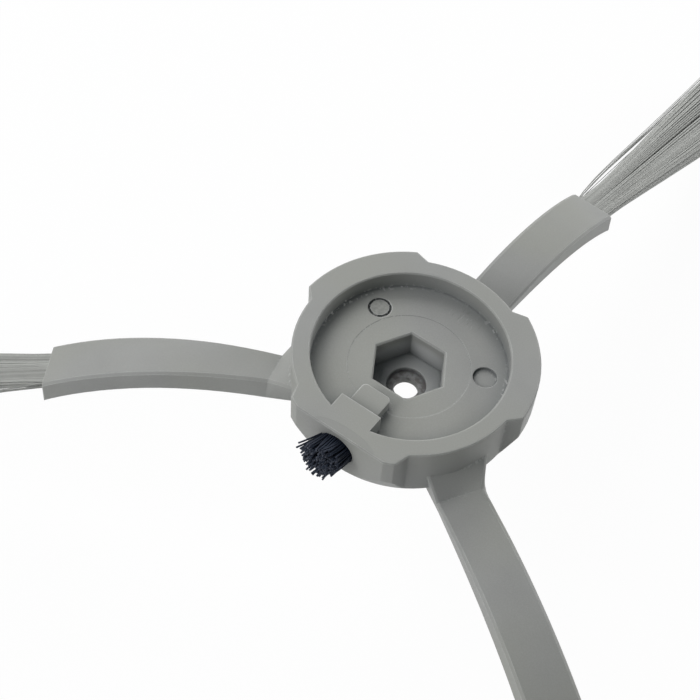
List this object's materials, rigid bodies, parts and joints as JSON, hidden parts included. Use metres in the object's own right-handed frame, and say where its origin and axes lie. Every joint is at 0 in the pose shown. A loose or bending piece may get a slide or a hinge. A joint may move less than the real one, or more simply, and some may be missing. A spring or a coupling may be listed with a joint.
{
  "type": "robot vacuum side brush",
  "caption": "Side brush for a robot vacuum: dished hub with a hexagonal drive socket, arched arms ending in nylon bristle tufts, and a short stiff tuft in the hub's side.",
  "frame": {"origin": "on the drive axis, level with the hub's top rim", "axes": "+Z along the drive axis out of the socket, -Y towards the flat with the stiff tuft, one arm along +Y"},
  "size_m": [0.1823, 0.1601, 0.035],
  "materials": {
    "moulded_body": "fine satin moulded plastic",
    "nylon_bristle": "translucent grey nylon filaments",
    "stiff_bristle": "black nylon filaments"
  },
  "bodies": {
    "root": {"brush_body": "moulded_body", "rear_tuft": "nylon_bristle", "left_tuft": "nylon_bristle", "right_tuft": "nylon_bristle", "hub_tuft": "stiff_bristle"}
  },
  "joints": []
}
